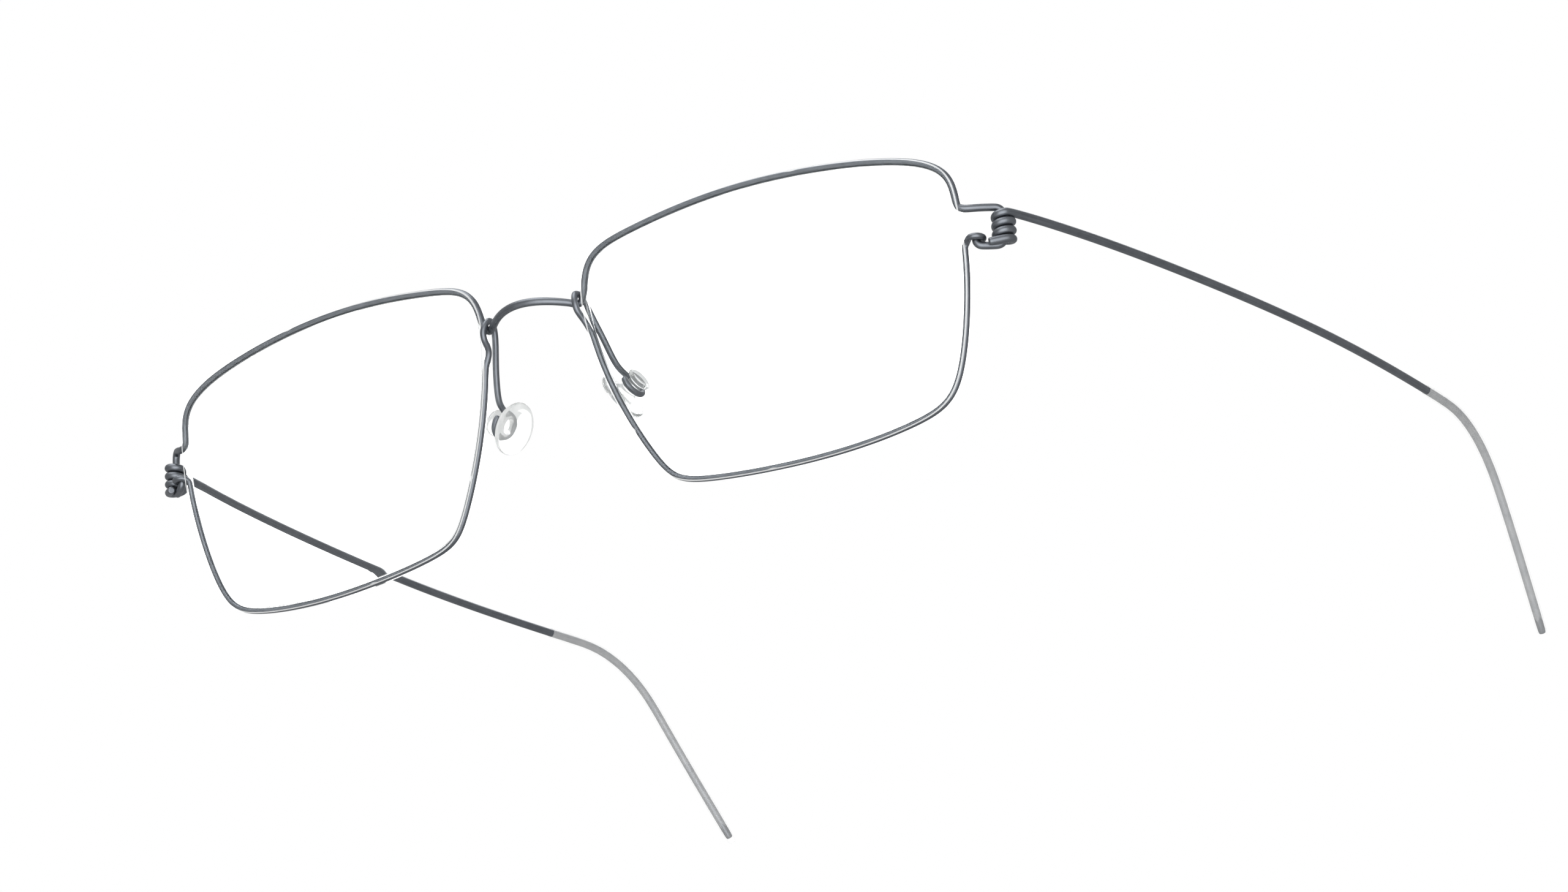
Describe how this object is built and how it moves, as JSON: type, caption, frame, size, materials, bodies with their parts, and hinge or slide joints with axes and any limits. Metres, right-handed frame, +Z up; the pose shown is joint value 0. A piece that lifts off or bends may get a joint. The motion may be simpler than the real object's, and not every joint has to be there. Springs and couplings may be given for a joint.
{
  "type": "eyeglasses",
  "caption": "Wire-frame eyeglasses with rimmed clear lenses, coil hinges that fold the temples, clear tip sleeves and round silicone nose pads.",
  "frame": {"origin": "middle of the footprint, on the surface that the open glasses stand on", "axes": "+Z up, the front faces -Y, the temples run back along +Y, +X is the wearer's left"},
  "size_m": [0.1458, 0.1352, 0.0357],
  "materials": {
    "wire": "satin slate-grey coated titanium wire",
    "lens": "clear polished plastic lens",
    "silicone": "clear soft silicone"
  },
  "bodies": {
    "front": {"front_wire": "wire", "lower_rim_wire_left": "wire", "lower_rim_wire_right": "wire", "lens_left": "lens", "lens_right": "lens"},
    "temple_left": {"temple_wire_left": "wire", "tip_sleeve_left": "silicone"},
    "temple_right": {"temple_wire_right": "wire", "tip_sleeve_right": "silicone"},
    "nose_pad_left": {"nose_pad_left": "silicone"},
    "nose_pad_right": {"nose_pad_right": "silicone"}
  },
  "joints": [
    {"name": "temple_fold_left", "type": "hinge", "parent": "front", "child": "temple_left", "pos_m": [0.06479, -0.0562, 0.02], "axis": [0, 0, 1], "range_deg": [0, 90]},
    {"name": "temple_fold_right", "type": "hinge", "parent": "front", "child": "temple_right", "pos_m": [-0.06479, -0.0562, 0.02], "axis": [0, 0, 1], "range_deg": [-82, 0]},
    {"name": "pad_turn_left", "type": "hinge", "parent": "front", "child": "nose_pad_left", "pos_m": [0.01027, -0.05756, 0.01647], "axis": [-0.8796, 0.03, -0.4748], "continuous": true},
    {"name": "pad_turn_right", "type": "hinge", "parent": "front", "child": "nose_pad_right", "pos_m": [-0.01027, -0.05756, 0.01647], "axis": [0.8796, 0.03, -0.4748], "continuous": true}
  ]
}
